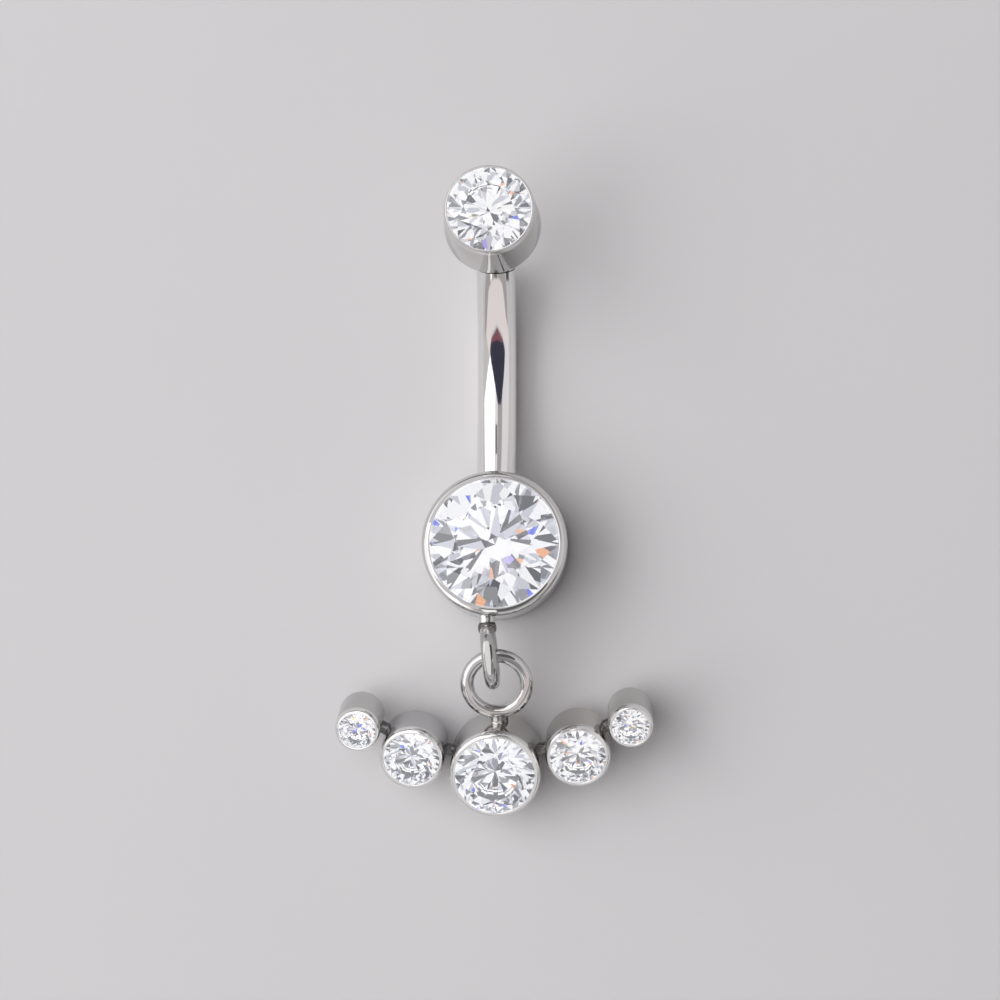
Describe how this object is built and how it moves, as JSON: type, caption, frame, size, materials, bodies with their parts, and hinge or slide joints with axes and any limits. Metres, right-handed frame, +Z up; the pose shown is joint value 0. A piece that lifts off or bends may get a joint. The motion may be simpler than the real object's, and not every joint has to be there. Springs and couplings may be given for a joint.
{
  "type": "navel ring",
  "caption": "Curved belly bar with a stone-set cup at each end and a linked drop of stone-set cups in an upward curve, lying on its back.",
  "frame": {"origin": "middle of the bounding box's bottom, on the surface that the ring lies on", "axes": "+Z up from the surface; +Y from the drop towards the top cup; +X to the right in the picture"},
  "size_m": [0.0128, 0.0259, 0.0057],
  "materials": {
    "polished_metal": "high polish",
    "clear_stone": "clear, brilliant cut"
  },
  "bodies": {
    "root": {"curved_bar": "polished_metal", "top_setting": "polished_metal", "drop_settings": "polished_metal", "top_stone": "clear_stone", "lower_stone": "clear_stone", "centre_stone": "clear_stone", "middle_stone_left": "clear_stone", "middle_stone_right": "clear_stone", "small_stone_left": "clear_stone", "small_stone_right": "clear_stone"}
  },
  "joints": []
}
